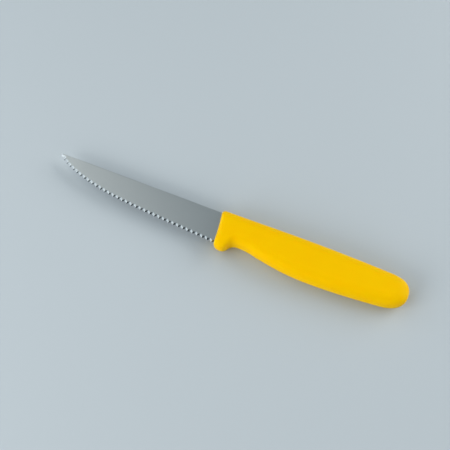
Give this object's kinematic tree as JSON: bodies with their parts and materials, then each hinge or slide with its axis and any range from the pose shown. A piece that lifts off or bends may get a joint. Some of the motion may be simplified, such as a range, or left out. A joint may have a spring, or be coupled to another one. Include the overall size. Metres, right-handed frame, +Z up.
{
  "type": "vegetable knife",
  "caption": "Small kitchen knife for vegetables, with a straight-spined serrated steel blade and a one-piece moulded handle with a finger guard.",
  "frame": {"origin": "middle of the underside of the box around the knife as it lies on its side, on the surface it rests on", "axes": "+X along the knife towards the butt, with the tip at -X; +Y towards the spine, with the cutting edge towards -Y; +Z up, through the knife's thickness"},
  "size_m": [0.2122, 0.0232, 0.0125],
  "materials": {
    "blade_steel": "satin, fine grinding lines across the blade",
    "handle_plastic": "smooth satin moulded polypropylene, warm yellow"
  },
  "bodies": {
    "root": {"blade": "blade_steel", "handle": "handle_plastic"}
  },
  "joints": []
}
